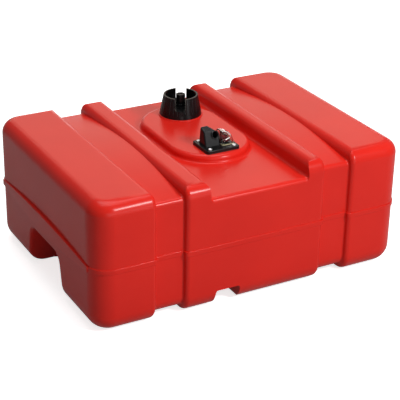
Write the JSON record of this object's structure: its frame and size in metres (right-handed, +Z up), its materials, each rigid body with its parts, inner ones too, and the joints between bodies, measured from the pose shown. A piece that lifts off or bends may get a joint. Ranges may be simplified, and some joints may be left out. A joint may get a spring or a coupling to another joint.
{
  "type": "portable fuel tank",
  "caption": "Moulded portable outboard fuel tank with strap grooves, end hand holds, a vented screw cap, and a withdrawal head with hose port, pickup tube and float gauge.",
  "frame": {"origin": "centre of the footprint, level with the feet", "axes": "+X along the tank's length, towards the end with the narrow rib; -Y towards the long side nearest the fuel port; +Z up"},
  "size_m": [0.61, 0.4352, 0.2624],
  "materials": {
    "tank": "satin moulded polyethylene, solid red",
    "fitting_plastic": "satin moulded black plastic",
    "seal": "smooth fuel-resistant rubber",
    "clear": "clear moulded plastic",
    "screw_steel": "bright stainless",
    "insert_brass": "turned brass",
    "tube_aluminium": "drawn tube",
    "filter_plastic": "natural nylon",
    "pale_seal": "cream foam gasket",
    "scale_card": "printed card face",
    "float_foam": "closed-cell foam"
  },
  "bodies": {
    "tank": {"tank_body": "tank", "screw_inserts": "insert_brass", "head_gasket": "seal", "withdrawal_head": "fitting_plastic", "flange_screws": "screw_steel", "fuel_port": "fitting_plastic", "pickup_tube": "tube_aluminium", "pickup_filter": "filter_plastic", "gauge_lens": "clear", "lens_gasket": "pale_seal", "gauge_scale": "scale_card", "pivot_pin": "screw_steel"},
    "cap_seal": {"cap_gasket": "seal"},
    "cap": {"cap_shell": "fitting_plastic", "inner_cap": "fitting_plastic", "vent_seat": "insert_brass"},
    "vent_washer": {"vent_seal": "seal"},
    "vent": {"vent_knob": "fitting_plastic", "vent_clip": "screw_steel"},
    "float": {"float_lever": "screw_steel", "gauge_float": "float_foam", "float_clips": "screw_steel"}
  },
  "joints": [
    {"name": "cap_lift", "type": "slide", "parent": "tank", "child": "cap_seal", "axis": [0, 0, 1], "range_m": [0, 0.06]},
    {"name": "cap_turn", "type": "hinge", "parent": "cap_seal", "child": "cap", "pos_m": [0.024, 0.109, 0.24], "axis": [0, 0, 1], "range_deg": [0, 450]},
    {"name": "vent_lift", "type": "slide", "parent": "cap", "child": "vent_washer", "axis": [0, 0, 1], "range_m": [0, 0.00188]},
    {"name": "vent_turn", "type": "hinge", "parent": "vent_washer", "child": "vent", "pos_m": [0.024, 0.109, 0.25], "axis": [0, 0, 1], "range_deg": [0, 540]},
    {"name": "float_swing", "type": "hinge", "parent": "tank", "child": "float", "pos_m": [0.0205, -0.0605, 0.233], "axis": [0, -1, 0], "range_deg": [0, 51.85]}
  ],
  "couplings": [
    {"joint": "vent_turn", "follows": "vent_lift", "rad_per_m": 5000}
  ]
}
